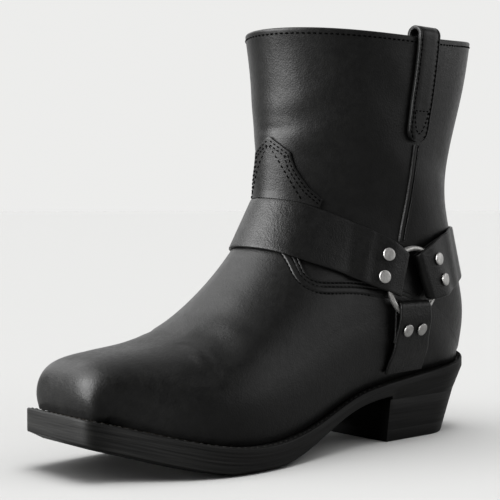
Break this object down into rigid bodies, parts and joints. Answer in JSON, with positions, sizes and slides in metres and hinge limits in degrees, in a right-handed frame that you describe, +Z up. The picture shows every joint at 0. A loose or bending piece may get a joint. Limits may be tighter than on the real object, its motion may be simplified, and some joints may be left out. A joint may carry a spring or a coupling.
{
  "type": "harness boot",
  "caption": "Left ankle-high leather harness boot with a squared toe, stacked heel, pull loops, and instep, heel and stirrup straps riveted round side rings.",
  "frame": {"origin": "on the floor under the middle of the boot's bounding box, which the boot stands on with heel and forefoot", "axes": "+Z up, -Y towards the toe, +X towards the boot's outer side"},
  "size_m": [0.1146, 0.3033, 0.2515],
  "materials": {
    "black_leather": "smooth, satin",
    "insole_leather": "matt",
    "black_rubber": "matt",
    "nickel": "brushed nickel plate"
  },
  "bodies": {
    "root": {"upper": "black_leather", "tongue_patch": "black_leather", "side_seam_outer": "black_leather", "side_seam_inner": "black_leather", "pull_loop_outer": "black_leather", "pull_loop_inner": "black_leather", "instep_strap": "black_leather", "heel_strap": "black_leather", "stirrup_outer": "black_leather", "stirrup_inner": "black_leather", "insole": "insole_leather", "welt": "black_leather", "outsole": "black_rubber", "heel_block": "black_rubber", "ring_outer": "nickel", "ring_inner": "nickel", "rivet_outer_1": "nickel", "rivet_outer_2": "nickel", "rivet_outer_3": "nickel", "rivet_outer_4": "nickel", "rivet_outer_5": "nickel", "rivet_outer_6": "nickel", "rivet_inner_1": "nickel", "rivet_inner_2": "nickel", "rivet_inner_3": "nickel", "rivet_inner_4": "nickel", "rivet_inner_5": "nickel", "rivet_inner_6": "nickel"}
  },
  "joints": []
}
